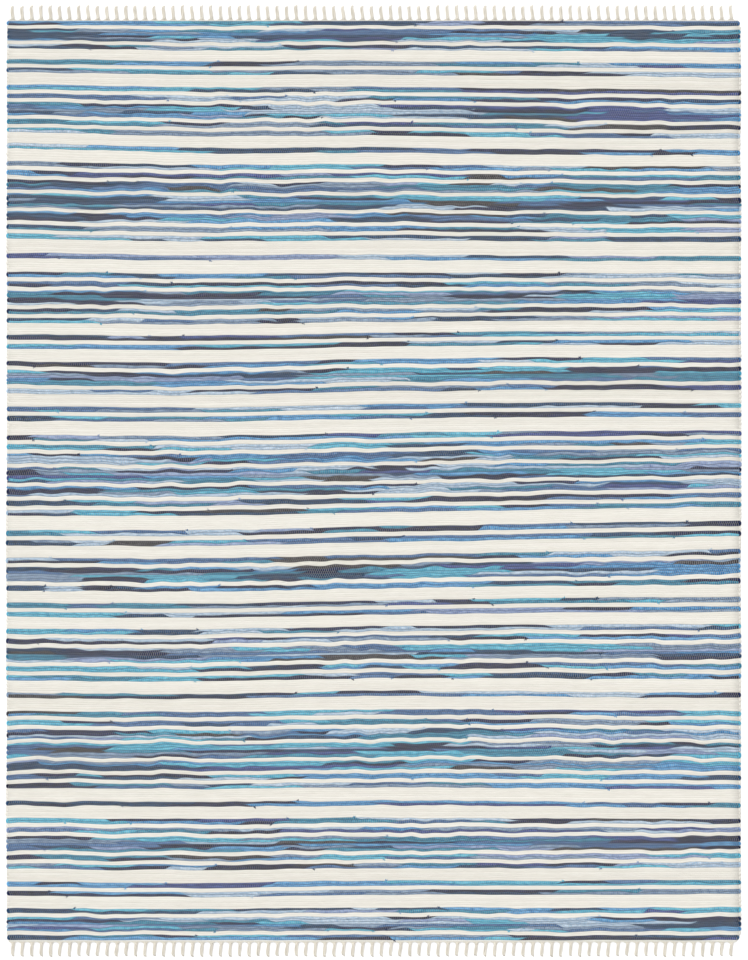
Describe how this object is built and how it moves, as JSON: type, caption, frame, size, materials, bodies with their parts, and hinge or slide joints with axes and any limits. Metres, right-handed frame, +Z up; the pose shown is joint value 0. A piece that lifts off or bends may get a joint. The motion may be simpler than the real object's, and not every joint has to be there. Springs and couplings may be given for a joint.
{
  "type": "handwoven area rug",
  "caption": "Flat rectangular handwoven rag rug with raised crosswise bands of rag weft on a pale cotton ground and a knotted fringe at both ends.",
  "frame": {"origin": "on the floor under the middle of the rug, at the centre of the bottom of its bounding box", "axes": "+X across the rug to the right, +Y along its length towards the head end, +Z up from the floor out of the face"},
  "size_m": [2.441, 3.1584, 0.009],
  "materials": {
    "rug_cloth": "matte plain-woven cotton ground with rag weft bands in blues, laid flat",
    "fringe_cotton": "matte undyed cotton yarn ends, knotted and cut"
  },
  "bodies": {
    "root": {"field": "rug_cloth", "fringe_head": "fringe_cotton", "fringe_foot": "fringe_cotton"}
  },
  "joints": []
}
